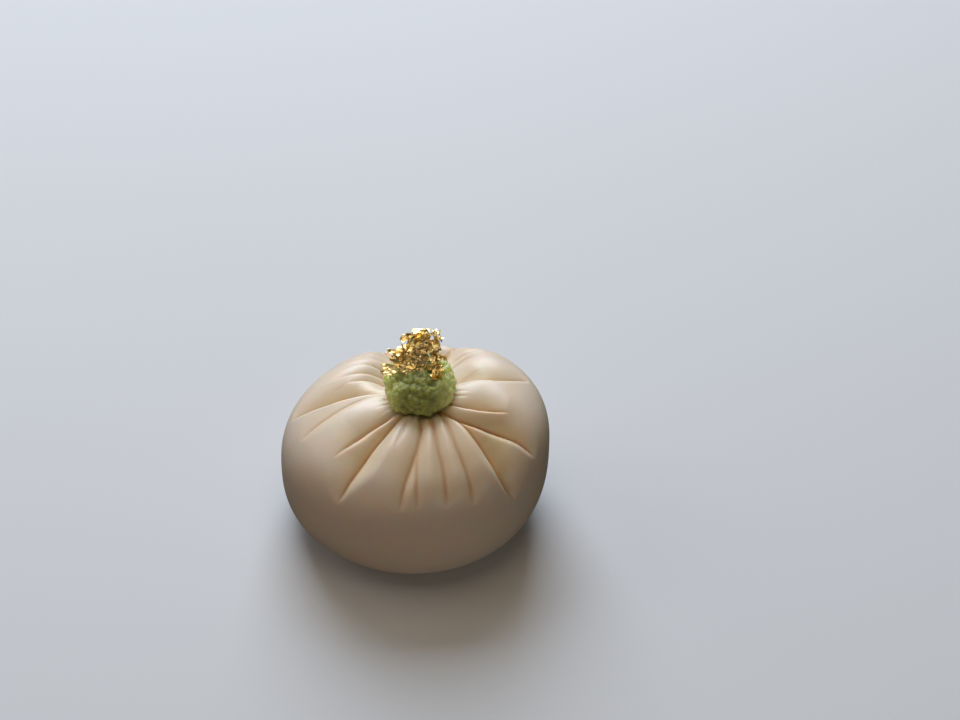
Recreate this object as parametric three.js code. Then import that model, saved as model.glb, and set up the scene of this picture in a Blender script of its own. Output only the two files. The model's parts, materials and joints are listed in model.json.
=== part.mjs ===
// A bean-paste sweet of the kind served with tea. A ball of smooth pale paste is gathered in a cloth, so that creases
// run from a dimple at its crown down its sides. A nub of sieved green paste sits in the dimple, and a crumpled piece
// of gold leaf stands on the nub. Millimetres, +Z up, with the origin in the middle of the flat base. Bearings are in
// degrees, anticlockwise from +X, and the photograph looks along +Y.
import * as THREE from "three";

// The paste ball
const BALL_HALF_WIDTH = 24;
const BALL_HALF_LENGTH = 22;
const WIDEST_HEIGHT = 14.5;
const CROWN_RISE = 15; // from the widest level to where the crown would be without its dimple
const CROWN_FULLNESS = 2.75; // 2 is an ellipse, and more is a fuller shoulder
const SIDE_DROP = 17.5; // how far the side would reach below the widest level, had the base not cut it flat
const SIDE_FULLNESS = 2.85;
const LEAN_X = 0.115; // the ball has slumped: its rise in Z for each millimetre along X
const LEAN_Y = -0.045;

// The dimple, and the broad fold that opens it towards the back
const DIMPLE_X = 1.2;
const DIMPLE_Y = 1;
const DIMPLE_DEPTH = 4.2;
const DIMPLE_RADIUS = 6.4;
const FOLD_DEPTH = 4.8;
const FOLD_HALF_WIDTH = 8.2;
const FOLD_FOOT = 22; // the Y at which it has run out

// The creases
const CREASE_DEPTH = 1.35;
const CREASE_WIDTH = 3.6; // from the valley to where the side is smooth again
const CREST_RADIUS = 12;
// Each crease: its bearings from the dimple near the nub, at the crest and low on the side, the radius at which it
// starts, the height at which it ends, and its depth as a share of CREASE_DEPTH.
const CREASES = [
  { bearings: [-24, -21, -16], start: 4, end: 25.5, depth: 0.95 },
  { bearings: [-6, -3, 0], start: 5, end: 27.0, depth: 0.35 },
  { bearings: [20, 14, 15], start: 4, end: 22.5, depth: 0.95 },
  { bearings: [38, 30, 28], start: 8, end: 25.5, depth: 0.45 },
  { bearings: [55, 50, 42], start: 5, end: 24.5, depth: 0.7 },
  { bearings: [64, 61, 51], start: 4, end: 23.0, depth: 0.65 },
  { bearings: [76, 74, 64], start: 5, end: 20.0, depth: 0.9 },
  { bearings: [88, 87, 83], start: 5, end: 21.5, depth: 0.6 },
  { bearings: [97, 100, 101], start: 5, end: 18.5, depth: 1.0 },
  { bearings: [105, 113, 121], start: 4, end: 21.5, depth: 0.7 },
  { bearings: [113, 126, 136], start: 5, end: 23.5, depth: 0.6 },
  { bearings: [122, 142, 157], start: 5, end: 24.5, depth: 0.6 },
  { bearings: [134, 157, 168], start: 5, end: 25.0, depth: 0.45 },
  { bearings: [151, 181, 181], start: 5, end: 19.5, depth: 1.1 },
  { bearings: [174, 192, 199], start: 6, end: 20.5, depth: 0.5 },
  { bearings: [200, 212, 211], start: 7, end: 25.5, depth: 0.25 },
  { bearings: [229, 232, 221], start: 4, end: 22.0, depth: 1.0 },
  { bearings: [246, 246, 238], start: 4, end: 18.5, depth: 1.15 },
  { bearings: [257, 258, 257], start: 4, end: 26.5, depth: 0.45 },
  { bearings: [274, 274, 265], start: 4, end: 19.5, depth: 0.9 },
  { bearings: [280, 277, 272], start: 12, end: 20.5, depth: 0.45 },
  { bearings: [289, 287, 285], start: 4, end: 20.5, depth: 0.7 },
  { bearings: [300, 298, 296], start: 4, end: 19.5, depth: 0.8 },
  { bearings: [308, 310, 313], start: 4, end: 17.5, depth: 1.15 },
  { bearings: [315, 319, 331], start: 4, end: 21.0, depth: 1.1 },
];
const BEARING_RADII = [6, 13, 22];
const STEPS_PER_LOBE = 4;

// The nub of green paste
const NUB_CENTRE = new THREE.Vector3(0.8, 0.3, 30.6);
const NUB_HALF_WIDTH = 6.4;
const NUB_HALF_HEIGHT = 4.7;
const NUB_DETAIL = 8;
const NUB_SEAT_GAP = 0.3; // to the dimple that it sits in
const GRAIN_COUNT = 80;
const GRAIN_HEIGHT = 0.75;
const GRAIN_SPREAD = 0.33; // radians

// The gold leaf
const LEAF_GAP = 0.3; // to the nub
const LEAF_THICKNESS = 0.35;
const LEAF_COLUMNS = 36;
const LEAF_EDGE = 26; // degrees from the upright at which it ends, between its flaps
const LEAF_RAGGEDNESS = 6;
const CRUMPLE = 0.45;
// Flaps that lie on the nub: how many degrees farther each reaches down, how wide it is, and how far its tip lifts.
const FLAPS = [
  { bearing: 192, reach: 38, spread: 20, lift: 0.9 },
  { bearing: 232, reach: 8, spread: 14, lift: 0.1 },
  { bearing: 330, reach: 18, spread: 22, lift: 0.4 },
  { bearing: 75, reach: 12, spread: 26, lift: 0.3 },
];
// The upright tuft
const TUFT_CENTRE = new THREE.Vector2(0.8, 0.5);
const TUFT_HALF_WIDTH = 3.3;
const TUFT_HALF_LENGTH = 2.4;
const TUFT_NECK = 5.3; // heights are above the middle of the nub
const TUFT_TOP = 10.3;
const TUFT_HOLLOW = 1.4; // its top sinks in the middle
// Spikes of the tuft: the level between neck and top, and how far out each stands.
const SPIKES = [
  { bearing: 180, level: 0.28, out: 2.0, spread: 16 },
  { bearing: 25, level: 0.95, out: 0.9, spread: 20 },
  { bearing: 160, level: 0.8, out: 0.4, spread: 20 },
  { bearing: 335, level: 0.15, out: 0.6, spread: 20 },
];

const DEGREE = Math.PI / 180;
const { smoothstep } = THREE.MathUtils;

// The same run of numbers from 0 to 1 every time.
function seededRandom(seed) {
  let state = seed;
  return () => {
    state = (state * 1664525 + 1013904223) % 4294967296;
    return state / 4294967296;
  };
}

function turnBetween(from, to) {
  const turn = to - from;
  return turn - 360 * Math.round(turn / 360);
}

// The height of the crown at a place in plan, with its dimple and its fold but without creases.
function crownHeight(x, y) {
  const across = Math.min(1, Math.hypot(x / BALL_HALF_WIDTH, y / BALL_HALF_LENGTH));
  const rise = CROWN_RISE * Math.pow(1 - Math.pow(across, CROWN_FULLNESS), 1 / CROWN_FULLNESS);
  const onCrown = Math.min(1, (3 * rise) / CROWN_RISE);
  const dimple = DIMPLE_DEPTH * Math.exp(-((Math.hypot(x - DIMPLE_X, y - DIMPLE_Y) / DIMPLE_RADIUS) ** 2));
  const alongFold = smoothstep(y, DIMPLE_Y, DIMPLE_Y + 5) * (1 - smoothstep(y, FOLD_FOOT - 8, FOLD_FOOT));
  const fold = FOLD_DEPTH * alongFold * Math.exp(-(Math.abs((x - DIMPLE_X) / FOLD_HALF_WIDTH) ** 3));
  return WIDEST_HEIGHT + rise - onCrown * (dimple + fold) + LEAN_X * x + LEAN_Y * y;
}

// The ball's rows from the base to the dimple: each a share of the half width, and a height. A row on the crown has no
// height of its own, because that follows from the place in plan.
const ON_CROWN = 99;
function ballProfile() {
  const points = [new THREE.Vector2(0, 0)];
  const sideSteps = 8;
  for (let i = 0; i <= sideSteps; i++) {
    const height = WIDEST_HEIGHT * (1 - Math.cos(((i / sideSteps) * Math.PI) / 2));
    const drop = Math.pow((WIDEST_HEIGHT - height) / SIDE_DROP, SIDE_FULLNESS);
    points.push(new THREE.Vector2(Math.pow(1 - drop, 1 / SIDE_FULLNESS), height));
  }
  const crownSteps = 22;
  for (let i = 1; i <= crownSteps; i++) points.push(new THREE.Vector2(1 - Math.pow(i / crownSteps, 1.7), ON_CROWN));
  return points;
}

// The bearing of a crease at a radius, on the curve through its three given bearings.
function creaseBearing({ bearings }, radius) {
  const [inner, middle, outer] = BEARING_RADII;
  const r = THREE.MathUtils.clamp(radius, inner, outer);
  return (
    (bearings[0] * (r - middle) * (r - outer)) / ((inner - middle) * (inner - outer)) +
    (bearings[1] * (r - inner) * (r - outer)) / ((middle - inner) * (middle - outer)) +
    (bearings[2] * (r - inner) * (r - middle)) / ((outer - inner) * (outer - middle))
  );
}

// How far the creases press the paste in at a bearing, a radius and a height.
function pressedIn(bearing, radius, height) {
  let depth = 0;
  for (const crease of CREASES) {
    const aside = Math.abs(turnBetween(creaseBearing(crease, radius), bearing)) * DEGREE * radius;
    const width = CREASE_WIDTH * Math.min(1, 0.2 + (0.8 * radius) / CREST_RADIUS);
    const begun = smoothstep(radius, crease.start - 2, crease.start + 2);
    const ended = radius < CREST_RADIUS ? 0 : smoothstep(28.5 - height, 0.3 * (28.5 - crease.end), 28.5 - crease.end);
    depth += CREASE_DEPTH * crease.depth * begun * (1 - ended) * Math.max(0, 1 - aside / width) ** 2;
  }
  return depth;
}

function pasteBall() {
  const profile = ballProfile();
  const rows = profile.length;
  const columns = CREASES.length * STEPS_PER_LOBE;
  const geometry = new THREE.LatheGeometry(profile, columns).rotateX(Math.PI / 2);
  const position = geometry.getAttribute("position");
  for (let i = 0; i < position.count; i++) {
    const { x: across, y: height } = profile[i % rows];
    const column = Math.floor(i / rows) % columns;
    const radius = across * BALL_HALF_WIDTH;
    const onCrown = height === ON_CROWN;
    const bearingRadius = onCrown ? radius : BALL_HALF_WIDTH;
    const from = creaseBearing(CREASES[Math.floor(column / STEPS_PER_LOBE)], bearingRadius);
    const next = (Math.floor(column / STEPS_PER_LOBE) + 1) % CREASES.length;
    const to = creaseBearing(CREASES[next], bearingRadius) + (next === 0 ? 360 : 0);
    const bearing = from + ((to - from) * (column % STEPS_PER_LOBE)) / STEPS_PER_LOBE;
    // Rows near the dimple are centred on it, and lower rows on the base.
    const shift = onCrown ? Math.max(0, 1 - radius / 16) : 0;
    const x = DIMPLE_X * shift + radius * Math.cos(bearing * DEGREE);
    const y = DIMPLE_Y * shift + ((radius * BALL_HALF_LENGTH) / BALL_HALF_WIDTH) * Math.sin(bearing * DEGREE);
    const leaning = Math.min(1, height / WIDEST_HEIGHT) * (LEAN_X * x + LEAN_Y * y);
    const z = onCrown ? crownHeight(x, y) : height + leaning;
    const inward = height > 0 ? pressedIn(bearing, radius, z) : 0;
    const steepness = onCrown ? across ** 2 : 1;
    const share = radius > 0 ? 1 - (inward * steepness) / radius : 1;
    position.setXYZ(i, x * share, y * share, z - inward * Math.sqrt(1 - steepness ** 2));
  }
  return geometry;
}

// Directions spread evenly, each then nudged.
function scatteredDirections(count, random) {
  const golden = Math.PI * (3 - Math.sqrt(5));
  return Array.from({ length: count }, (_, i) => {
    const z = 1 - (2 * (i + 0.5)) / count;
    const across = Math.sqrt(1 - z * z);
    const nudge = () => (random() - 0.5) * 0.25;
    const direction = new THREE.Vector3(across * Math.cos(i * golden), across * Math.sin(i * golden), z);
    return direction.add(new THREE.Vector3(nudge(), nudge(), nudge())).normalize();
  });
}

function greenNub() {
  const random = seededRandom(11);
  const grains = scatteredDirections(GRAIN_COUNT, random).map((direction) => ({
    direction,
    height: GRAIN_HEIGHT * (0.3 + 0.7 * random()),
  }));
  const geometry = new THREE.IcosahedronGeometry(1, NUB_DETAIL);
  const position = geometry.getAttribute("position");
  const point = new THREE.Vector3();
  for (let i = 0; i < position.count; i++) {
    point.fromBufferAttribute(position, i).normalize();
    let bump = 0;
    for (const grain of grains) {
      bump = Math.max(bump, grain.height * (1 - smoothstep(point.angleTo(grain.direction), 0, GRAIN_SPREAD)));
    }
    const grow = 1 + (bump - GRAIN_HEIGHT) / NUB_HALF_WIDTH;
    point.multiply(new THREE.Vector3(NUB_HALF_WIDTH, NUB_HALF_WIDTH, NUB_HALF_HEIGHT));
    point.multiplyScalar(grow).add(NUB_CENTRE);
    const seat = crownHeight(point.x, point.y) + NUB_SEAT_GAP;
    position.setXYZ(i, point.x, point.y, Math.max(point.z, seat));
  }
  return geometry;
}

// The distance from the middle of the nub to its outside, grains included, at an angle from the upright.
function nubReach(tilt) {
  return 1 / Math.hypot(Math.sin(tilt) / NUB_HALF_WIDTH, Math.cos(tilt) / NUB_HALF_HEIGHT);
}

function goldLeaf() {
  const random = seededRandom(5);
  const underSteps = 5;
  const flapSteps = 5;
  const wallSteps = 6;
  const topSteps = 3;
  const rows = underSteps + 1 + flapSteps + wallSteps + topSteps;
  const edges = Array.from({ length: LEAF_COLUMNS }, (_, column) => {
    const bearing = (column / LEAF_COLUMNS) * 360;
    const edge = { tilt: LEAF_EDGE + LEAF_RAGGEDNESS * (2 * random() - 1), lift: 0 };
    for (const flap of FLAPS) {
      const share = Math.exp(-((turnBetween(flap.bearing, bearing) / flap.spread) ** 2));
      edge.tilt += flap.reach * share;
      edge.lift += flap.lift * share;
    }
    return edge;
  });
  const bends = Array.from({ length: rows * LEAF_COLUMNS }, () => [random(), random() - 0.5, random() - 0.5]);
  const outline = Array.from({ length: rows + 1 }, (_, i) => new THREE.Vector2(i > 0 && i < rows ? 1 : 0, i));
  const geometry = new THREE.LatheGeometry(outline, LEAF_COLUMNS).rotateX(Math.PI / 2);
  const position = geometry.getAttribute("position");
  for (let i = 0; i < position.count; i++) {
    const row = i % (rows + 1);
    const column = Math.floor(i / (rows + 1)) % LEAF_COLUMNS;
    const bearing = (column / LEAF_COLUMNS) * 360;
    const edge = edges[column];
    const bend = row > 0 && row < rows ? bends[row * LEAF_COLUMNS + column] : [0.5, 0, 0];
    const centre = TUFT_CENTRE.clone();
    let radius;
    let height;
    if (row <= underSteps + flapSteps) {
      // On the nub: the under face out to the edge, then the upper face back to the foot of the tuft.
      const under = row <= underSteps;
      const share = under ? row / underSteps : 1 - (row - underSteps - 1) / flapSteps;
      const foot = 24;
      const tilt = (under ? share * edge.tilt : foot + share * (edge.tilt - foot)) * DEGREE;
      const lifted = edge.lift * share ** 3;
      const reach = nubReach(tilt) + LEAF_GAP + lifted + (under ? 0 : LEAF_THICKNESS + CRUMPLE * bend[0] * (2 - share));
      radius = reach * Math.sin(tilt);
      height = reach * Math.cos(tilt);
      centre.multiplyScalar(under ? 0 : 1 - share);
    } else if (row <= underSteps + 1 + flapSteps + wallSteps) {
      const level = (row - underSteps - 1 - flapSteps) / wallSteps;
      const oval = Math.hypot(Math.cos(bearing * DEGREE) * TUFT_HALF_WIDTH, Math.sin(bearing * DEGREE) * TUFT_HALF_LENGTH);
      radius = oval * (0.92 + 0.16 * level) + CRUMPLE * 2.4 * (bend[0] - 0.5);
      for (const spike of SPIKES) {
        const aside = turnBetween(spike.bearing, bearing) / spike.spread;
        radius += spike.out * Math.exp(-(aside ** 2) - ((level - spike.level) / 0.13) ** 2);
      }
      height = THREE.MathUtils.lerp(TUFT_NECK, TUFT_TOP, level) + CRUMPLE * 1.5 * bend[1] * (1 + level);
    } else {
      const share = (rows - row) / (topSteps + 0.5);
      radius = TUFT_HALF_LENGTH * 1.1 * share * (1 + 0.3 * bend[1]);
      height = TUFT_TOP - TUFT_HOLLOW * (1 - share ** 2) + CRUMPLE * 2 * bend[2];
    }
    position.setXYZ(
      i,
      NUB_CENTRE.x + centre.x + radius * Math.cos(bearing * DEGREE),
      NUB_CENTRE.y + centre.y + radius * Math.sin(bearing * DEGREE),
      NUB_CENTRE.z + height,
    );
  }
  return geometry;
}

function piece(name, geometry, colour, roughness, metalness) {
  const mesh = new THREE.Mesh(geometry, new THREE.MeshStandardMaterial({ color: colour, roughness, metalness }));
  mesh.name = name;
  return mesh;
}

const sweet = new THREE.Group();
sweet.add(piece("paste_ball", pasteBall(), 0xe6cfb4, 0.45, 0));
sweet.add(piece("green_nub", greenNub(), 0x6f7f3c, 0.6, 0));
sweet.add(piece("gold_leaf", goldLeaf(), 0xe0a93c, 0.25, 1));
export default sweet;
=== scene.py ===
# %% [markdown]
# # A gathered sweet of bean paste
# A ball of pale paste gathered in a cloth, with a nub of sieved green paste in its dimple and a crumpled piece of gold
# leaf on top. The CAD model is loaded first and fixes every size: the pieces modelled here stand exactly where its
# solids stand, in metres. Lengths are written in millimetres and multiplied by MM.

# %% Load the CAD model
import json
import math

import bpy
import numpy as np
from mathutils import Matrix, Vector

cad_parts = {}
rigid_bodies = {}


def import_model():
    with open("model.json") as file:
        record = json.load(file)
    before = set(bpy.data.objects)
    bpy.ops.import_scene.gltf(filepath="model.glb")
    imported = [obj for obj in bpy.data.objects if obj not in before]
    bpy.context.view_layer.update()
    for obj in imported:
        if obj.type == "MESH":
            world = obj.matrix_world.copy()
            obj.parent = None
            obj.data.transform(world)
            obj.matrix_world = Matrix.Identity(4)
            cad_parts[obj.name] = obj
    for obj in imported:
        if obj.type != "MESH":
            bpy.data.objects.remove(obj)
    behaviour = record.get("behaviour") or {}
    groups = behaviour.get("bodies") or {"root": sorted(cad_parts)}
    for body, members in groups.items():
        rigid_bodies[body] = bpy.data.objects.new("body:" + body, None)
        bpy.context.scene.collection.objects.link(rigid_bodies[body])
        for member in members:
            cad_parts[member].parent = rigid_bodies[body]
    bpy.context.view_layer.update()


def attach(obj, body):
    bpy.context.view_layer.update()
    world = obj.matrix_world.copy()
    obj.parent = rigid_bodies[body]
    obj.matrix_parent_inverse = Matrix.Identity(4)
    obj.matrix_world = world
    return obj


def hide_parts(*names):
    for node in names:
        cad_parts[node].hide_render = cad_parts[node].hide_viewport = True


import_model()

MM = 0.001

# %% [markdown]
# ## The camera
# The photograph was taken with a long lens that looks about 44 degrees down. The camera is found from one point: the
# middle of the ball's widest level, which falls left of and below the middle of the picture. A camera could be aimed
# with a Track To constraint, but a location and a turn worked out once stay put when other views are rendered.

# %% Place the camera
PICTURE_WIDTH, PICTURE_HEIGHT = 960, 720
PITCH = math.radians(43.9)
ROLL = math.radians(0.4)
DISTANCE = 480 * MM
FOCAL_PIXELS = 2680
AIM_POINT = Vector((0, 0, 14.5 * MM))
AIM_PIXEL = (415, 450)
NEAREST_SEEN, FARTHEST_SEEN = 10 * MM, 20

forward = Vector((0, math.cos(PITCH), -math.sin(PITCH)))
level_right = Vector((1, 0, 0))
level_up = level_right.cross(forward)
right = level_right * math.cos(ROLL) + level_up * math.sin(ROLL)
up = level_up * math.cos(ROLL) - level_right * math.sin(ROLL)
aside = (AIM_PIXEL[0] - PICTURE_WIDTH / 2) / FOCAL_PIXELS * DISTANCE
above = (PICTURE_HEIGHT / 2 - AIM_PIXEL[1]) / FOCAL_PIXELS * DISTANCE

bpy.ops.object.camera_add(location=AIM_POINT - right * aside - up * above - forward * DISTANCE)
camera = bpy.context.object
camera.name = "camera"
camera.rotation_euler = Matrix((right, up, -forward)).transposed().to_euler()
camera.data.lens = FOCAL_PIXELS * camera.data.sensor_width / PICTURE_WIDTH
camera.data.clip_start, camera.data.clip_end = NEAREST_SEEN, FARTHEST_SEEN
bpy.context.scene.camera = camera
print("lens", round(camera.data.lens, 1), "mm")

# %% [markdown]
# ## Helpers for modelling
# An operator acts on everything that is selected, so each step starts by choosing one object or some of its points.
# The points are chosen by where they are, as one would by eye. A press that fades out in a way of its own is a vertex
# group, one weight for each point, that a Displace modifier then follows.


# %% Choose what the next operator acts on
def work_on(*objects):
    """Selects these objects alone, the first of them active."""
    if bpy.context.object and bpy.context.object.mode != "OBJECT":
        bpy.ops.object.mode_set(mode="OBJECT")
    bpy.ops.object.select_all(action="DESELECT")
    for chosen in objects:
        chosen.select_set(True)
    bpy.context.view_layer.objects.active = objects[0]


def places(piece):
    """The piece's points as an array of rows x, y, z."""
    flat = np.empty(len(piece.data.vertices) * 3)
    piece.data.vertices.foreach_get("co", flat)
    return flat.reshape(-1, 3)


# %% Modify a piece, press it, and store values on its points
TOO_SMALL_TO_SEE = 1e-4  # of the deepest press


def modify(piece, kind, **settings):
    """Adds a modifier, gives it its settings and applies it."""
    work_on(piece)
    bpy.ops.object.modifier_add(type=kind)
    modifier = piece.modifiers[-1]
    for setting, value in settings.items():
        setattr(modifier, setting, value)
    bpy.ops.object.modifier_apply(modifier=modifier.name)


def press(piece, name, depths, direction="NORMAL"):
    """Moves each point back along its normal, or down along Z, by its own depth in metres."""
    deepest = float(np.abs(depths).max())
    group = piece.vertex_groups.new(name=name)
    for index in np.nonzero(depths > deepest * TOO_SMALL_TO_SEE)[0]:
        group.add([int(index)], float(depths[index]) / deepest, "REPLACE")
    modify(piece, "DISPLACE", vertex_group=name, direction=direction, mid_level=0, strength=-deepest)
    print(name, "pressed up to", round(deepest / MM, 2), "mm")


def store(piece, name, values):
    """Keeps one value for each point, from 0 to 1, which a material can read by its name."""
    kept = piece.data.attributes.new(name, "FLOAT", "POINT")
    kept.data.foreach_set("value", np.clip(values, 0, 1).astype(np.float32))


# %% [markdown]
# ## The paste ball: its plain body
# Smooth paste is rolled into a ball and set down, so it is broad, full at the shoulder and flat underneath. It could
# be a sphere that is squashed, but a sphere has the wrong fullness. Here half of its cross-section is drawn point by
# point with extrudes, spun round the upright axis, and scaled to an oval.

# %% Work out the cross-section
HALF_WIDTH, HALF_LENGTH = 24 * MM, 22 * MM
WIDEST_HEIGHT = 14.5 * MM
CROWN_RISE, CROWN_FULLNESS = 15 * MM, 2.75
SIDE_DROP, SIDE_FULLNESS = 17.5 * MM, 2.85
SIDE_SAMPLES, CROWN_SAMPLES = 200, 400
ROW_LENGTH = 0.28 * MM


def run_along(line):
    """How far along a line of points each of them lies."""
    return np.concatenate([[0], np.cumsum(np.hypot(*np.diff(line, axis=0).T))])


heights = WIDEST_HEIGHT * (1 - np.cos(np.linspace(0, math.pi / 2, SIDE_SAMPLES)))
side = HALF_WIDTH * (1 - ((WIDEST_HEIGHT - heights) / SIDE_DROP) ** SIDE_FULLNESS) ** (1 / SIDE_FULLNESS)
turn = np.linspace(0, math.pi / 2, CROWN_SAMPLES)[1:]
crown_radius = HALF_WIDTH * np.cos(turn) ** (2 / CROWN_FULLNESS)
crown_height = WIDEST_HEIGHT + CROWN_RISE * np.sin(turn) ** (2 / CROWN_FULLNESS)
curve = np.column_stack([np.concatenate([side, crown_radius]), np.concatenate([heights, crown_height])])
along = run_along(curve)
stops = np.linspace(0, along[-1], round(along[-1] / ROW_LENGTH))
outline = np.column_stack([np.interp(stops, along, curve[:, 0]), np.interp(stops, along, curve[:, 1])])
outline[-1, 0] = 0  # the last point closes the crown on the axis
print("side and crown:", round(along[-1] / MM, 1), "mm of curve in", len(outline), "points")

# %% Round its foot
# The corner between base and side becomes a curve that leaves the one and meets the other without a kink.
FOOT_ROWS = 5

corner, side_start = outline[0], outline[FOOT_ROWS]
base_end = corner - (FOOT_ROWS * ROW_LENGTH, 0)
base_middle, base_halfway = [0, 0], [base_end[0] / 2, 0]
share = np.linspace(0, 1, FOOT_ROWS + 1)[:, None]
foot = base_end * (1 - share) ** 2 + corner * 2 * share * (1 - share) + side_start * share**2
outline = np.vstack([[base_middle, base_halfway], foot, outline[FOOT_ROWS + 1 :]])
print("the flat base reaches", round(base_end[0] / MM, 1), "mm from the middle")

# %% Draw it with extrudes
bpy.ops.object.select_all(action="DESELECT")
bpy.ops.mesh.primitive_plane_add(size=MM)
paste = bpy.context.object
paste.name = paste.data.name = "gathered_paste"
bpy.ops.object.mode_set(mode="EDIT")
bpy.ops.mesh.merge(type="CENTER")
for here, there in zip(outline, outline[1:]):
    step = (there[0] - here[0], 0, there[1] - here[1])
    bpy.ops.mesh.extrude_region_move(TRANSFORM_OT_translate={"value": step})
print("cross-section of", len(outline), "points")

# %% Spin it into a body
COLUMNS = 560

bpy.ops.mesh.select_all(action="SELECT")
bpy.ops.mesh.spin(steps=COLUMNS, angle=math.tau, center=(0, 0, 0), axis=(0, 0, 1))
bpy.ops.mesh.select_all(action="SELECT")
bpy.ops.mesh.remove_doubles(threshold=0.01 * MM)
bpy.ops.mesh.normals_make_consistent(inside=False)
bpy.ops.transform.resize(value=(1, HALF_LENGTH / HALF_WIDTH, 1))
bpy.ops.object.mode_set(mode="OBJECT")
print("body:", len(paste.data.vertices), "points")

# %% Measure how far down from the crown each point lies
# The way down is taken along the surface and kept for the creases. Each point is matched with the cross-section by
# its angle, seen from a place inside the body from which the whole cross-section shows.
LOOKOUT_HEIGHT = 7 * MM

x, y, z = places(paste).T
section_angle = np.arctan2(outline[:, 1] - LOOKOUT_HEIGHT, outline[:, 0])
section_run = run_along(outline)
point_angle = np.arctan2(z - LOOKOUT_HEIGHT, np.hypot(x, y * HALF_WIDTH / HALF_LENGTH))
down = section_run[-1] - np.interp(point_angle, section_angle, section_run)
print(round(down.max() / MM, 1), "mm from the crown to the middle of the base")

# %% [markdown]
# ## The slump, the dimple and the fold
# The soft ball has slumped a little to one side. A lattice of twelve points round it gives that lean: its bottom layer
# stays where it is and the layers above tip. Then the crown is pressed in for the nub, and a broad fold opens the
# dimple towards the back. Proportional editing could press the dimple, but not a long fold that fades at both ends, so
# both are weights.

# %% Lean the body with a lattice
LEAN_X, LEAN_Y = 0.115, -0.045
CAGE_HALF = 25 * MM
ABOVE_BOTTOM_LAYER = -0.25  # the cage's layers stand at -0.5, 0 and 0.5 of its height

bpy.ops.object.select_all(action="DESELECT")
bpy.ops.object.add(type="LATTICE", location=(0, 0, WIDEST_HEIGHT))
cage = bpy.context.object
cage.scale = (2 * CAGE_HALF, 2 * CAGE_HALF, 2 * WIDEST_HEIGHT)
cage.data.points_u, cage.data.points_v, cage.data.points_w = 2, 2, 3
cage.data.interpolation_type_u = cage.data.interpolation_type_v = cage.data.interpolation_type_w = "KEY_LINEAR"
for point in cage.data.points:
    if point.co.z > ABOVE_BOTTOM_LAYER:
        rise = (LEAN_X * point.co.x + LEAN_Y * point.co.y) * 2 * CAGE_HALF
        point.co_deform.z = point.co.z + rise / (2 * WIDEST_HEIGHT)
bpy.context.view_layer.update()
modify(paste, "LATTICE", object=cage)
bpy.data.objects.remove(cage)
print("the leaning body reaches", round(places(paste)[:, 2].max() / MM, 1), "mm up")

# %% Press in the dimple and the fold
DIMPLE_X, DIMPLE_Y = 1.2 * MM, 1 * MM
DIMPLE_DEPTH, DIMPLE_RADIUS = 3.3 * MM, 5.8 * MM
FOLD_DEPTH, FOLD_HALF_WIDTH, FOLD_SQUARENESS = 4.8 * MM, 8.2 * MM, 3
FOLD_OPENING, FOLD_CLOSING, FOLD_FOOT = 5 * MM, 8 * MM, 22 * MM
RIM_FADE = 3
CROWN_EDGE = 0.1 * MM


def fade(value, start, end):
    """0 before start, 1 after end, and smooth between them."""
    share = np.clip((value - start) / (end - start), 0, 1)
    return share * share * (3 - 2 * share)


def dimple_and_fold(x, y):
    """How deep the crown is pressed down; the press fades out at the crown's rim, where the rise is nothing."""
    across = np.minimum(1, np.hypot(x / HALF_WIDTH, y / HALF_LENGTH))
    rise = (1 - across**CROWN_FULLNESS) ** (1 / CROWN_FULLNESS)
    dimple = DIMPLE_DEPTH * np.exp(-((np.hypot(x - DIMPLE_X, y - DIMPLE_Y) / DIMPLE_RADIUS) ** 2))
    opened = fade(y, DIMPLE_Y, DIMPLE_Y + FOLD_OPENING)
    closed = fade(y, FOLD_FOOT - FOLD_CLOSING, FOLD_FOOT)
    fold = FOLD_DEPTH * opened * (1 - closed) * np.exp(-(np.abs((x - DIMPLE_X) / FOLD_HALF_WIDTH) ** FOLD_SQUARENESS))
    return np.minimum(1, RIM_FADE * rise) * (dimple + fold)


x, y, z = places(paste).T
leaning = LEAN_X * x + LEAN_Y * y
on_crown = z - leaning > WIDEST_HEIGHT + CROWN_EDGE
press(paste, "dimple", np.where(on_crown, dimple_and_fold(x, y), 0), direction="Z")

# %% [markdown]
# ## The creases
# A cloth twisted round the ball leaves creases that run from the nub down the sides. Each is a sharp valley between
# two soft lobes, and it swerves a little on its way. A row of the table says where one crease runs: its bearings near
# the nub, on the crown, at the shoulder and on the side, where it starts and ends, how deep it is and how much broader
# one of its walls is. A valley could be an edge that is pulled in and bevelled, but edges run straight down the
# columns of the spin. A valley pressed with weights swerves across them. The points are close enough to follow it,
# apart from small notches in the steepest wall, at the front right.

# %% Where each crease runs
BEARING_RUNS, LAST_RUN = (6 * MM, 12 * MM, 18 * MM, 26 * MM), 29 * MM
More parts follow.
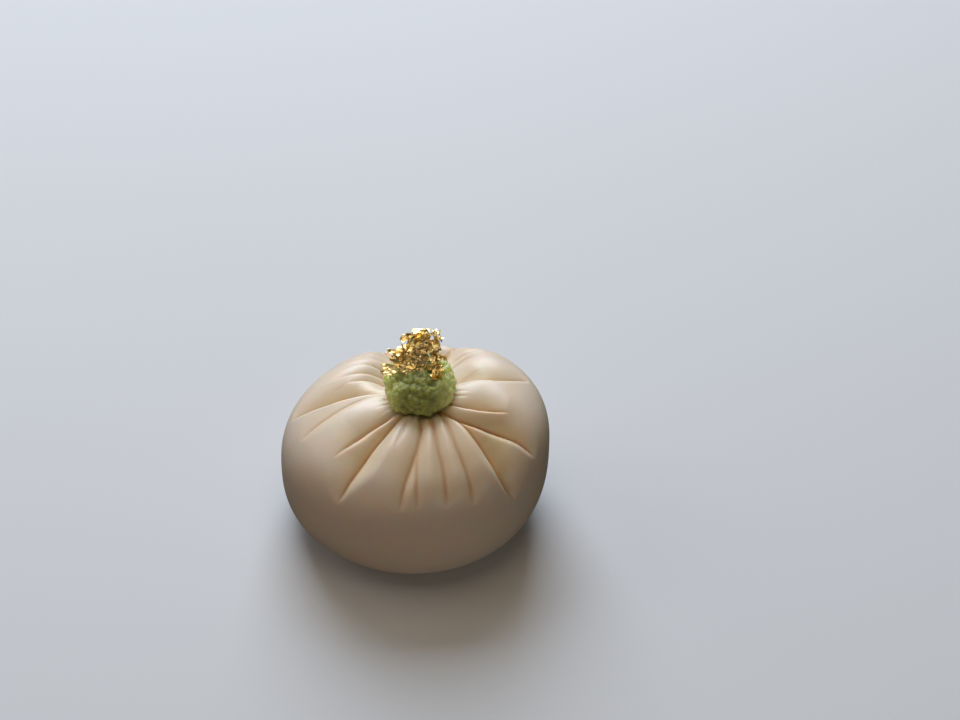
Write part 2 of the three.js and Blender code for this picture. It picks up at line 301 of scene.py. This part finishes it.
# Bearings in degrees anticlockwise from +X; the radius where it starts and how far down from the crown it ends, in
# millimetres; its depth, measured in CREASE_DEPTH; how much broader its wall towards the back is.
CREASES = [
    ((-32, -21.5, -15.5, -14), 4, 19.2, 1.15, 0.45),
    ((34, 21.5, 17.5, 16.5), 4, 23, 1.1, 0.5),
    ((42, 35, 29, 25), 8, 16.5, 0.4, 0.5),
    ((62, 66.5, 52, 31), 5, 20, 0.5, 0.5),
    ((70, 77, 62.5, 41), 4, 22, 0.55, 0.5),
    ((77, 77.5, 74, 70), 5, 27, 0.7, 0.5),
    ((88, 87.5, 85, 83), 5, 24, 0.55, 0.5),
    ((97, 98.5, 103, 108), 5, 29, 0.75, 0.5),
    ((98, 99.5, 116, 136), 4, 20, 0.55, 0.5),
    ((102, 115.5, 140.5, 163), 5, 17.5, 0.5, 0.5),
    ((108, 134, 160.5, 178), 5, 18, 0.5, 0.5),
    ((123, 151, 167, 171), 5, 16.5, 0.4, 0.5),
    ((175, 173, 175, 179), 5, 24, 1.35, 0.5),
    ((181.5, 189, 195.5, 199.5), 6, 22.5, 0.28, 0.5),
    ((235, 226, 223.5, 222.5), 4, 20.5, 1, 0.3),
    ((246.5, 240, 238.5, 235), 4, 27.5, 1.35, 0.5),
    ((258.5, 257.5, 257.5, 257), 4, 16.5, 0.25, 0.5),
    ((273.5, 273.5, 268.5, 264.5), 4, 27.5, 0.85, 0.5),
    ((279, 273.5, 272, 272), 12, 27.5, 0.5, 0.5),
    ((289.5, 287.5, 286.5, 283.5), 4, 28, 0.7, 0.5),
    ((304.5, 300.5, 298, 296.5), 4, 29, 0.7, 0.5),
    ((308, 315, 314.5, 313.8), 4, 32.5, 2, 0.9),
    ((303, 321.5, 330.5, 334.5), 4, 28, 1.9, 0.25),
]
print(len(CREASES), "creases")

# %% Follow a crease
SHIFT_REACH = 16 * MM
SHIFT_ROUNDS = 8


def bearing_and_radius(x, y):
    """Where a place is, seen from the dimple near the nub and from the middle of the base farther out."""
    oval = HALF_WIDTH / HALF_LENGTH
    radius = np.hypot(x, y * oval)
    for _ in range(SHIFT_ROUNDS):
        shift = np.maximum(0, 1 - radius / SHIFT_REACH)
        radius = np.hypot(x - DIMPLE_X * shift, (y - DIMPLE_Y * shift) * oval)
    return np.degrees(np.arctan2((y - DIMPLE_Y * shift) * oval, x - DIMPLE_X * shift)), radius


def swerve(bearings, run):
    """The bearing of a crease after a run down the surface, on the smooth curve through its four bearings."""
    bend = np.polyfit(np.array(BEARING_RUNS) / MM, bearings, len(BEARING_RUNS) - 1)
    return np.polyval(bend, np.clip(run, BEARING_RUNS[0], LAST_RUN) / MM)


def turn_between(start, end):
    """The shorter turn from one bearing to another, in degrees."""
    turn = end - start
    return turn - 360 * np.round(turn / 360)


# %% How deep the creases are
CREASE_DEPTH, STEEPEST = 2.1 * MM, 0.64
CREASE_WIDTH, WIDEST_RADIUS, NARROWEST = 7.2 * MM, 19 * MM, 0.05 * MM
ROUNDNESS, FULLNESS, CREASE_SOFTNESS = 1.8, 0.76, 0.22 * MM
START_BEFORE, START_AFTER = 2, 6  # millimetres either side of the radius where a crease starts
TAPER, WIDTH_TAPER, TIP_FADE, TIP_CLOSING = 0.36, 0.75, -0.25, 6
LINE_DEPTH, LINE_WIDTH, LINE_TAPER = 0.15 * MM, 0.35 * MM, 4 * MM
LINE_LEAST, LINE_WITH_DEPTH = 0.3, 0.7
SHARING = 4
RUN_LAG = 2.5 * MM


def crease_depths(x, y, down):
    """How deep the creases press each point, and how near it is to the bottom of one, from 0 to 1."""
    bearing, radius = bearing_and_radius(x, y)
    # On the crown the radius is the run. Down the side the radius hardly grows, and the run goes on.
    run = np.maximum(radius, down - RUN_LAG)
    widest = CREASE_WIDTH * np.minimum(1, radius / WIDEST_RADIUS)
    total, nearest = np.zeros_like(x), np.zeros_like(x)
    for bearings, start, end, depth, back_share in CREASES:
        aside = np.radians(turn_between(swerve(bearings, run), bearing)) * radius
        begun = fade(radius, (start - START_BEFORE) * MM, (start + START_AFTER) * MM)
        left = np.clip((end * MM - down) / (TAPER * end * MM), 0, 1)
        # The wall towards the back is the broader one, as on folds that lie over to the front.
        width = widest * left**WIDTH_TAPER + NARROWEST
        width *= 1 + back_share * np.sign(aside) * np.cos(np.radians(bearing))
        # A crease grows shallow towards its tip, and closes quickly just before it.
        open_share = fade(left, TIP_FADE, 1) * begun * np.minimum(1, TIP_CLOSING * left)
        deepest = np.minimum(CREASE_DEPTH * depth, STEEPEST * widest) * open_share
        # The paste swells over a crease from both sides, so the walls steepen all the way down to its bottom.
        wall = (1 - np.minimum(1, np.hypot(aside, CREASE_SOFTNESS) / width) ** FULLNESS) ** ROUNDNESS
        line = np.clip((end * MM - down) / LINE_TAPER, 0, 1) * begun * np.exp(-((aside / LINE_WIDTH) ** 2))
        line_share = LINE_LEAST + LINE_WITH_DEPTH * depth
        nearest = np.maximum(nearest, line_share * line)
        # High powers let the deepest crease at each point win, with a soft change from one to the next.
        total += (deepest * wall + LINE_DEPTH * line_share * line) ** SHARING
    return total ** (1 / SHARING), nearest


# %% Press in the creases
x, y, z = places(paste).T
creased, line_shade_mask = crease_depths(x, y, down)
press(paste, "creases", creased)

# %% [markdown]
# ## Fine wrinkles round the nub
# Where the cloth was twisted tight, dozens of short shallow wrinkles crowd round the nub. A bump in the material could
# show them, but not where they break the edge of the dimple, so they are pressed in too. They are drawn by chance from
# a fixed seed, so that the sweet is the same each time. In front of the nub the paste is pinched in, and the wrinkles
# there are longer and deeper, like small cracks.

# %% Pinch the paste in front of the nub
PINCH_BEARING, PINCH_HALF_ANGLE, PINCH_DEPTH = 286, 9, 0.3 * MM
PINCH_FADE = (7 * MM, 10 * MM)

x, y, z = places(paste).T
bearing, radius = bearing_and_radius(x, y)
pinched = np.exp(-((turn_between(PINCH_BEARING, bearing) / PINCH_HALF_ANGLE) ** 2)) * (1 - fade(radius, *PINCH_FADE))
wrinkled = PINCH_DEPTH * pinched
print("the pinch reaches", np.count_nonzero(wrinkled > PINCH_DEPTH / 2), "points")

# %% Press in the wrinkles
WRINKLES, WRINKLE_SEED = 90, 7
WRINKLE_DEPTH, WRINKLE_WIDTH, SHALLOWEST = 0.16 * MM, 0.28 * MM, 0.35
SHORTEST, LONGEST = 6.5, 10.5  # millimetres from the middle of the nub
UNEVEN_SPACING, WANDER = 0.35, 0.8
FRONT_BEARING, FRONT_HALF_ANGLE, FRONT_GAIN = 282, 22, 1.5
FADES_FROM = 0.55
NUB_EDGE = (3 * MM, 5 * MM)

chance = np.random.default_rng(WRINKLE_SEED)
for number in range(WRINKLES):
    line = 360 * (number + chance.uniform(-UNEVEN_SPACING, UNEVEN_SPACING)) / WRINKLES
    in_front = math.exp(-((turn_between(FRONT_BEARING, line) / FRONT_HALF_ANGLE) ** 2))
    reach = (chance.uniform(SHORTEST, LONGEST) + FRONT_GAIN * in_front) * MM
    depth = WRINKLE_DEPTH * chance.uniform(SHALLOWEST, 1) * (1 + FRONT_GAIN * in_front)
    wandering = line + chance.uniform(-WANDER, WANDER) * radius / MM
    aside = np.abs(np.radians(turn_between(wandering, bearing))) * radius
    wrinkled += depth * (1 - fade(radius, reach * FADES_FROM, reach)) * np.exp(-((aside / WRINKLE_WIDTH) ** 2))
wrinkled *= fade(radius, *NUB_EDGE)
press(paste, "wrinkles", wrinkled)

# %% Finish the ball
SHADE_CURVE = 0.8

work_on(paste)
bpy.ops.object.shade_smooth()
# The depths of the creases and the nearness to their bottom lines are kept as masks for painted shade.
store(paste, "crease_shade_mask", ((creased + wrinkled) / CREASE_DEPTH) ** SHADE_CURVE)
store(paste, "line_shade_mask", line_shade_mask)
paste.vertex_groups.clear()
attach(paste, "root")
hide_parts("paste_ball")
print("paste ball:", len(paste.data.polygons), "faces")

# %% [markdown]
# ## The nub of green paste
# Green paste pushed through a sieve sits in the dimple as a lumpy ball with soft corners. It could start as a UV
# sphere, but that one's faces crowd at its poles. An icosphere has even faces all over, so lumps come out alike
# everywhere. A Cast modifier makes it a little boxy and it is scaled. Three Voronoi textures push out lumps, grains and
# crumbs, and a Smooth modifier takes off their hard edges.

# %% Start with a boxy ball
NUB_CENTRE = Vector((1.0, 0.3, 30.7)) * MM
NUB_HALF_WIDTH, NUB_HALF_HEIGHT = 6.15 * MM, 4.3 * MM
BOXINESS = 0.14

bpy.ops.object.select_all(action="DESELECT")
bpy.ops.mesh.primitive_ico_sphere_add(subdivisions=7, radius=1)
nub = bpy.context.object
nub.name = nub.data.name = "green_paste_nub"
modify(nub, "CAST", cast_type="CUBOID", factor=BOXINESS)
nub.scale = (NUB_HALF_WIDTH, NUB_HALF_WIDTH, NUB_HALF_HEIGHT)
nub.location = NUB_CENTRE
work_on(nub)
bpy.ops.object.transform_apply(location=True, rotation=True, scale=True)
print("boxy ball:", [round(c / MM, 1) for c in nub.dimensions], "mm")

# %% Push out lumps, grains and crumbs
# Name; size of a cell; how far it comes out; the level that stays in place; how distance is measured in a cell.
GRAIN = [
    ("lumps", 2.1 * MM, 1.0 * MM, 0.35, "DISTANCE_SQUARED"),
    ("grains", 1.05 * MM, 0.62 * MM, 0.3, "DISTANCE_SQUARED"),
    ("crumbs", 0.55 * MM, 0.14 * MM, 0.4, "DISTANCE"),
]

for name, size, height, level, metric in GRAIN:
    cells = bpy.data.textures.new(name, "VORONOI")
    cells.noise_scale = size
    cells.distance_metric = metric
    modify(nub, "DISPLACE", texture=cells, strength=-height, mid_level=level)
modify(nub, "SMOOTH", factor=0.5, iterations=2)
print("nub:", [round(c / MM, 1) for c in nub.dimensions], "mm")

# %% Finish the nub
SIDE_FADE = (2.2 * MM, 6 * MM)
FOOT_FADE = (-3 * MM, -0.5 * MM)

work_on(nub)
bpy.ops.object.shade_smooth()
x, y, z = (places(nub) - NUB_CENTRE).T
# Masks for painted light: the sides are painted lighter, and their foot yellower.
side_light_mask = fade(np.abs(x), *SIDE_FADE)
foot_glow_mask = side_light_mask * (1 - fade(z, *FOOT_FADE))
store(nub, "side_light_mask", side_light_mask)
store(nub, "foot_glow_mask", foot_glow_mask)
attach(nub, "root")
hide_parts("green_nub")
print("nub:", len(nub.data.polygons), "faces")

# %% [markdown]
# ## The gold leaf
# Gold leaf is beaten so thin that it tears and crumples at a touch. A scrap starts as a flat grid, and the faces
# outside a ragged outline are deleted. Its points are shaken at random, then its faces are split, smoothed a little
# and shaken again, so that large facets carry finer ones, as in crumpled foil. A bend curls it and a Solidify modifier
# gives the joined scraps a thickness. A cloth simulation could crumple a sheet too, but where it comes to rest is hard
# to steer.

# %% Tear a flat sheet
CELL, FEWEST_CELLS = 0.62 * MM, 3
EDGE_WAVES, WAVE_SIZES = (2, 3, 5, 7, 11), (0.05, 0.16)
EDGE, CORNER_SQUARENESS = 0.98, 3
EDGE_SEED, FINE_SEED, FINEST_SEED = 100, 50, 80


def torn_sheet(number, width, height):
    """A flat grid in edit mode, without the faces that lie outside a wavy outline with round corners."""
    dice = np.random.default_rng(EDGE_SEED + number)
    waves = [(count, dice.uniform(0, math.tau), dice.uniform(*WAVE_SIZES)) for count in EDGE_WAVES]
    columns, rows = (max(FEWEST_CELLS, round(length / CELL)) for length in (width, height))
    bpy.ops.object.select_all(action="DESELECT")
    bpy.ops.mesh.primitive_grid_add(x_subdivisions=columns, y_subdivisions=rows, size=1)
    sheet = bpy.context.object
    sheet.scale = (width, height, 1)
    bpy.ops.object.transform_apply(location=False, rotation=False, scale=True)
    bpy.ops.object.mode_set(mode="EDIT")
    bpy.ops.mesh.select_mode(type="FACE")
    bpy.ops.mesh.select_all(action="DESELECT")
    bpy.ops.object.mode_set(mode="OBJECT")
    for face in sheet.data.polygons:
        across, along = face.center.x / width * 2, face.center.y / height * 2
        angle = math.atan2(along, across)
        edge = EDGE + sum(size * math.sin(count * angle + phase) for count, phase, size in waves)
        out = (abs(across) ** CORNER_SQUARENESS + abs(along) ** CORNER_SQUARENESS) ** (1 / CORNER_SQUARENESS)
        face.select = out > edge
    bpy.ops.object.mode_set(mode="EDIT")
    bpy.ops.mesh.delete(type="FACE")
    return sheet


# %% Crumple it and set it in place
FINE_SHAKE, FINEST_SHAKE, SMOOTHING = 0.16, 0.06, 0.4


def crumple_sheet(number, crumple):
    """Shakes the sheet's points by up to about this many millimetres, then less and less on finer faces."""
    bpy.ops.mesh.select_mode(type="VERT")
    bpy.ops.mesh.select_all(action="SELECT")
    bpy.ops.transform.vertex_random(offset=crumple * MM, seed=number)
    bpy.ops.mesh.quads_convert_to_tris(quad_method="SHORTEST_DIAGONAL", ngon_method="BEAUTY")
    bpy.ops.mesh.subdivide(number_cuts=1, smoothness=0)
    bpy.ops.mesh.vertices_smooth(factor=SMOOTHING)
    bpy.ops.transform.vertex_random(offset=FINE_SHAKE * crumple * MM, seed=number + FINE_SEED)
    bpy.ops.mesh.subdivide(number_cuts=1, smoothness=0)
    bpy.ops.transform.vertex_random(offset=FINEST_SHAKE * crumple * MM, seed=number + FINEST_SEED)
    bpy.ops.mesh.delete_loose()
    bpy.ops.object.mode_set(mode="OBJECT")


def scrap(number, width, height, place, tilt, turn, roll=0, curl=0, crumple=0.3):
    """A crumpled scrap. It starts flat, facing up; tilt stands it up to face the front, turn then swings it round."""
    piece = torn_sheet(number, width, height)
    crumple_sheet(number, crumple)
    if curl:
        modify(piece, "SIMPLE_DEFORM", deform_method="BEND", deform_axis="X", angle=math.radians(curl))
    piece.rotation_euler = (math.radians(tilt), math.radians(roll), math.radians(turn))
    piece.location = Vector(place) * MM
    work_on(piece)
    bpy.ops.object.transform_apply(location=True, rotation=True, scale=True)
    return piece


# %% Gather the scraps into a tuft
# Number; width and height; place in millimetres; tilt and turn in degrees, then roll, curl and crumple where needed.
scraps = [
    scrap(1, 4.4 * MM, 7.4 * MM, (0.9, 1.9, 37.5), 56, 0, crumple=0.28),
    scrap(2, 2.4 * MM, 5.0 * MM, (-1.6, 1.6, 37.0), 50, -25, roll=18, curl=50, crumple=0.45),
    scrap(3, 2.2 * MM, 5.6 * MM, (3.6, 2.4, 37.4), 52, 20, roll=-14, curl=-50, crumple=0.45),
    scrap(4, 4.0 * MM, 1.2 * MM, (1.6, 3.9, 40.1), 8, 0, crumple=0.35),
    scrap(5, 1.6 * MM, 1.2 * MM, (4.0, 3.6, 40.3), 20, 30, crumple=0.45),
    scrap(6, 2.6 * MM, 0.9 * MM, (-3.4, 1.6, 37.2), 20, -15, crumple=0.4),
    scrap(7, 3.6 * MM, 2.2 * MM, (-4.3, -0.4, 34.7), 25, -20, roll=-10, curl=50, crumple=0.45),
    scrap(8, 2.8 * MM, 2.8 * MM, (4.0, -0.9, 35.1), 30, 20, curl=110, crumple=0.45),
    scrap(9, 3.0 * MM, 2.8 * MM, (-1.2, -0.6, 35.4), 38, -10, curl=60, crumple=0.45),
    scrap(10, 1.4 * MM, 1.4 * MM, (1.2, -1.0, 35.0), 40, 0, crumple=0.4),
    scrap(11, 2.2 * MM, 2.4 * MM, (-2.9, 0.9, 36.1), 30, -30, roll=20, curl=-40, crumple=0.45),
    scrap(12, 2.2 * MM, 2.4 * MM, (3.6, 0.8, 36.4), 25, 30, curl=60, crumple=0.45),
    scrap(13, 4.4 * MM, 3.4 * MM, (0.8, 0.6, 34.9), 20, 10, crumple=0.35),
    scrap(14, 3.6 * MM, 5.0 * MM, (1.4, 3.0, 37.8), 100, 12, crumple=0.4),
    scrap(15, 0.7 * MM, 3.0 * MM, (1.2, 2.5, 39.2), 30, -40, crumple=0.2),
    scrap(16, 1.5 * MM, 1.8 * MM, (4.4, 3.0, 39.2), 15, 40, roll=10, crumple=0.45),
    scrap(17, 1.6 * MM, 2.0 * MM, (3.9, 2.2, 38.0), 20, 10, roll=-8, crumple=0.45),
    scrap(18, 1.4 * MM, 1.8 * MM, (-1.4, 3.2, 39.0), 15, -30, crumple=0.45),
    scrap(19, 1.8 * MM, 1.8 * MM, (-1.0, 2.0, 38.2), 20, 0, roll=10, crumple=0.45),
    scrap(20, 1.8 * MM, 1.6 * MM, (-2.4, 1.6, 37.4), 15, 20, roll=-10, crumple=0.45),
]
print(len(scraps), "scraps")

# %% Join the scraps and give them a thickness
LEAF_THICKNESS = 0.06 * MM

work_on(*scraps)
bpy.ops.object.join()
leaf = bpy.context.object
leaf.name = leaf.data.name = "crumpled_gold_leaf"
bpy.ops.object.mode_set(mode="EDIT")
bpy.ops.mesh.select_all(action="SELECT")
bpy.ops.mesh.normals_make_consistent(inside=False)
bpy.ops.object.mode_set(mode="OBJECT")
modify(leaf, "SOLIDIFY", thickness=LEAF_THICKNESS, offset=0)
work_on(leaf)
bpy.ops.object.shade_flat()
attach(leaf, "root")
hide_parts("gold_leaf")
print("gold leaf from", (places(leaf).min(0) / MM).round(1), "to", (places(leaf).max(0) / MM).round(1))
print("gold leaf:", len(leaf.data.polygons), "faces")

# %% [markdown]
# ## Helpers for materials
# A material is a small network of nodes: patterns and colours feed the shader, which says how the surface takes the
# light. Every finish here needs the same few parts, so each part is a helper: a blend of two colours, a reader for the
# values stored on the points, a cloudy mottle and a bump. Patterns could be pictures wrapped round the piece, but ones
# that are worked out from Object coordinates have no seams, and their spots have a real size.


# %% Start a material and mix colours
def new_material(name):
    """A material with its shader, and its lists of nodes and links."""
    material = bpy.data.materials.new(name)
    material.use_nodes = True
    return material, material.node_tree.nodes, material.node_tree.links


def srgb(red, green, blue):
    """A screen colour, 0 to 255, as the linear values that a shader takes, by the standard curve of screens."""
    shares = [c / 255 for c in (red, green, blue)]
    return tuple(c / 12.92 if c <= 0.04 else ((c + 0.055) / 1.055) ** 2.4 for c in shares) + (1,)


def blend(nodes, links, factor, first, second):
    """A colour that goes from the first to the second as the factor, another node's output, goes from 0 to 1."""
    mix = nodes.new("ShaderNodeMix")
    mix.data_type = "RGBA"
    links.new(factor, mix.inputs["Factor"])
    for socket, colour in (("A", first), ("B", second)):
        if isinstance(colour, tuple):
            mix.inputs[socket].default_value = colour
        else:
            links.new(colour, mix.inputs[socket])
    return mix.outputs["Result"]


def attribute(nodes, name):
    """The value of this name that was stored on the points."""
    node = nodes.new("ShaderNodeAttribute")
    node.attribute_name = name
    return node.outputs["Fac"]


# %% Mottle and bump
NOISE_LOW, NOISE_HIGH = 0.3, 0.7  # noise seldom goes outside this range


def mottle(nodes, links, size, low=0, high=1, detail=2.0):
    """A cloudy pattern with spots of about this size, stretched so that it fills the range from low to high."""
    place = nodes.new("ShaderNodeTexCoord")
    noise = nodes.new("ShaderNodeTexNoise")
    noise.inputs["Scale"].default_value = 1 / size
    noise.inputs["Detail"].default_value = detail
    links.new(place.outputs["Object"], noise.inputs["Vector"])
    spread = nodes.new("ShaderNodeMapRange")
    spread.inputs["From Min"].default_value = NOISE_LOW
    spread.inputs["From Max"].default_value = NOISE_HIGH
    spread.inputs["To Min"].default_value = low
    spread.inputs["To Max"].default_value = high
    links.new(noise.outputs["Fac"], spread.inputs["Value"])
    return spread.outputs["Result"]


def bump(nodes, links, height, depth, below=None):
    """Shades the surface as if it rose by up to this depth; below is the normal of a coarser bump."""
    node = nodes.new("ShaderNodeBump")
    node.inputs["Strength"].default_value = 1
    node.inputs["Distance"].default_value = depth
    links.new(height, node.inputs["Height"])
    if below is not None:
        links.new(below, node.inputs["Normal"])
    return node.outputs["Normal"]


# %% [markdown]
# ## The pale paste
# Bean paste is satin, and light goes a little way into it, which keeps its shadows soft and warm. A plain matt colour
# would look like plaster. Subsurface scattering carries light below the surface, red light the farthest. The creases
# are painted a little yellower and their bottoms browner: painted shade, for the warm shade that gathers in them. The
# values stored on the points say where that is. Very low bumps stand for the unevenness that a cloth leaves, which is
# too fine to model.

# %% Paint the ball
# Painted shade: the colours the creases and their bottom lines are painted, for the warm shade in them.
PALE_PASTE, PALER_PASTE = srgb(240, 222, 201), srgb(235, 222, 206)
CREASE_SHADE_COLOUR, LINE_SHADE_COLOUR = srgb(233, 213, 177), srgb(214, 171, 125)

material, nodes, links = new_material("satin bean paste")
paint = nodes["Principled BSDF"]
paint.inputs["Specular IOR Level"].default_value = 0.7
paint.inputs["Subsurface Weight"].default_value = 1
paint.inputs["Subsurface Radius"].default_value = (1.0, 0.6, 0.33)
paint.inputs["Subsurface Scale"].default_value = 0.6 * MM
plain = blend(nodes, links, mottle(nodes, links, size=5 * MM), PALE_PASTE, PALER_PASTE)
# Painted shade: the creases are painted yellower and their bottom lines browner.
crease_shaded = blend(nodes, links, attribute(nodes, "crease_shade_mask"), plain, CREASE_SHADE_COLOUR)
line_shaded = blend(nodes, links, attribute(nodes, "line_shade_mask"), crease_shaded, LINE_SHADE_COLOUR)
links.new(line_shaded, paint.inputs["Base Color"])
links.new(mottle(nodes, links, size=3 * MM, low=0.36, high=0.46), paint.inputs["Roughness"])
worked = bump(nodes, links, mottle(nodes, links, size=4 * MM), depth=0.03 * MM)
grain = bump(nodes, links, mottle(nodes, links, size=0.5 * MM), depth=0.004 * MM, below=worked)
links.new(grain, paint.inputs["Normal"])
paste.data.materials.append(material)
print(material.name + ":", len(nodes), "nodes")

# %% [markdown]
# ## The green paste
# Sieved green paste is moist and grainy and deep green. Its sides are painted lighter and their foot yellower: painted
# light, for the light that comes through them from behind. Stronger scattering alone could lighten the sides, but it
# pales the middle with them. So the scattering stays moderate, and values stored on the points place the painted light
# on the sides and their foot. Small pale flecks and a patchy gloss make the grains stand apart.

# %% Paint the nub
# Painted light: the sides and their foot are painted lighter and yellower, for the light that comes through them.
MIDDLE_GREEN, LIT_SIDE_GREEN = srgb(138, 147, 72), srgb(240, 250, 172)
GLOWING_FOOT_GREEN, FLECK_GREEN = srgb(218, 196, 98), srgb(196, 206, 138)

material, nodes, links = new_material("sieved green paste")
paint = nodes["Principled BSDF"]
paint.inputs["Subsurface Weight"].default_value = 1
paint.inputs["Subsurface Radius"].default_value = (1.0, 0.85, 0.25)
paint.inputs["Subsurface Scale"].default_value = 3 * MM
sides = blend(nodes, links, attribute(nodes, "side_light_mask"), MIDDLE_GREEN, LIT_SIDE_GREEN)
foot = blend(nodes, links, attribute(nodes, "foot_glow_mask"), sides, GLOWING_FOOT_GREEN)
flecks = blend(nodes, links, mottle(nodes, links, size=0.9 * MM, high=0.45), foot, FLECK_GREEN)
links.new(flecks, paint.inputs["Base Color"])
links.new(mottle(nodes, links, size=0.7 * MM, low=0.3, high=0.5), paint.inputs["Roughness"])
links.new(bump(nodes, links, mottle(nodes, links, size=0.45 * MM), depth=0.03 * MM), paint.inputs["Normal"])
nub.data.materials.append(material)
print(material.name + ":", len(nodes), "nodes")

# %% [markdown]
# ## The gold
# Gold is a metal: all that is seen of it is what it reflects, tinted yellow. A yellow paint with some gloss would look
# like plastic, so the shader is set to fully metallic. Most of the sparkle comes from the facets that were modelled. A
# patchy roughness makes some of them mirror and others glow, and a small bump stands for the finest wrinkles.

# %% Gild the leaf
PALE_GOLD, DEEP_GOLD = srgb(255, 236, 172), srgb(255, 221, 138)

material, nodes, links = new_material("gold leaf")
paint = nodes["Principled BSDF"]
paint.inputs["Metallic"].default_value = 1
tone = blend(nodes, links, mottle(nodes, links, size=1.5 * MM), PALE_GOLD, DEEP_GOLD)
links.new(tone, paint.inputs["Base Color"])
links.new(mottle(nodes, links, size=0.8 * MM, low=0.24, high=0.38), paint.inputs["Roughness"])
wrinkles = bump(nodes, links, mottle(nodes, links, size=0.5 * MM, detail=4), depth=0.02 * MM)
links.new(wrinkles, paint.inputs["Normal"])
leaf.data.materials.append(material)
print(material.name + ":", len(nodes), "nodes")

# %% [markdown]
# ## The floor
# The sweet stands on a plain pale floor. It could be a plane, but a broad disc shows no corners in any view. A pale
# floor throws light up the sides of the ball, which are dim in the photograph, so the floor is left out of what the
# ball's surface gathers and reflects.

# %% Lay the floor
FLOOR_RADIUS = 3
FLOOR_GREY = srgb(214, 217, 222)

bpy.ops.object.select_all(action="DESELECT")
bpy.ops.mesh.primitive_circle_add(vertices=96, radius=FLOOR_RADIUS, fill_type="NGON", location=(0, 0, 0))
floor = bpy.context.object
floor.name = "floor"
material, nodes, links = new_material("pale floor")
paint = nodes["Principled BSDF"]
paint.inputs["Base Color"].default_value = FLOOR_GREY
paint.inputs["Roughness"].default_value = 0.7
floor.data.materials.append(material)
floor.visible_diffuse = False
floor.visible_glossy = False
print("floor:", 2 * FLOOR_RADIUS, "m across")

# %% [markdown]
# ## The light
# In the photograph soft daylight comes from behind and above, and the front of the ball is in gentle shade. A picture
# of a room could light the scene in one step, but softboxes can be set one by one for what each has to do. A broad
# cool one behind stands for the window, a warm one above lights the crown, and three weak warm ones fill the left
# side and the shade in front.

# %% Set up the lights
# Name; azimuth and elevation in degrees; width and height in metres; power in watts; colour.
LIGHTS = [
    ("window", -8, 40, 0.65, 0.75, 9.1, (0.82, 0.9, 1.0)),
    ("above", 0, 88, 0.6, 0.6, 1.5, (1.0, 0.8, 0.55)),
    ("left", -75, 32, 0.6, 0.6, 0.9, (1.0, 0.97, 0.92)),
    ("low right", 150, 5, 0.6, 0.4, 1.0, (1.0, 0.95, 0.85)),
    ("low left", -150, 5, 0.6, 0.4, 0.75, (1.0, 0.72, 0.55)),
]
LIGHT_DISTANCE = 0.9


def soft_light(name, azimuth, elevation, width, height, power, colour):
    """A softbox that faces the sweet. The azimuth turns clockwise from behind it, seen from above."""
    a, e = math.radians(azimuth), math.radians(elevation)
    away = Vector((math.sin(a) * math.cos(e), math.cos(a) * math.cos(e), math.sin(e)))
    bpy.ops.object.light_add(type="AREA", location=AIM_POINT + away * LIGHT_DISTANCE)
    light = bpy.context.object
    light.name = name
    light.rotation_euler = away.to_track_quat("Z", "Y").to_euler()
    light.data.shape = "RECTANGLE"
    light.data.size, light.data.size_y = width, height
    light.data.energy = power
    light.data.color = colour


for name, azimuth, elevation, width, height, power, colour in LIGHTS:
    soft_light(name, azimuth, elevation, width, height, power, colour)
    print(name, "light:", power, "watts")

# %% Give the room its glow
# The Standard view transform shows colours as they are. Others give a film's look and flatten the brightest ones.
ROOM_GLOW = (0.036, 0.0305, 0.0255, 1)

world = bpy.data.worlds.new("room")
bpy.context.scene.world = world
world.use_nodes = True
world.node_tree.nodes["Background"].inputs["Color"].default_value = ROOM_GLOW
bpy.context.scene.view_settings.view_transform = "Standard"
print("room glow", ROOM_GLOW[:3])
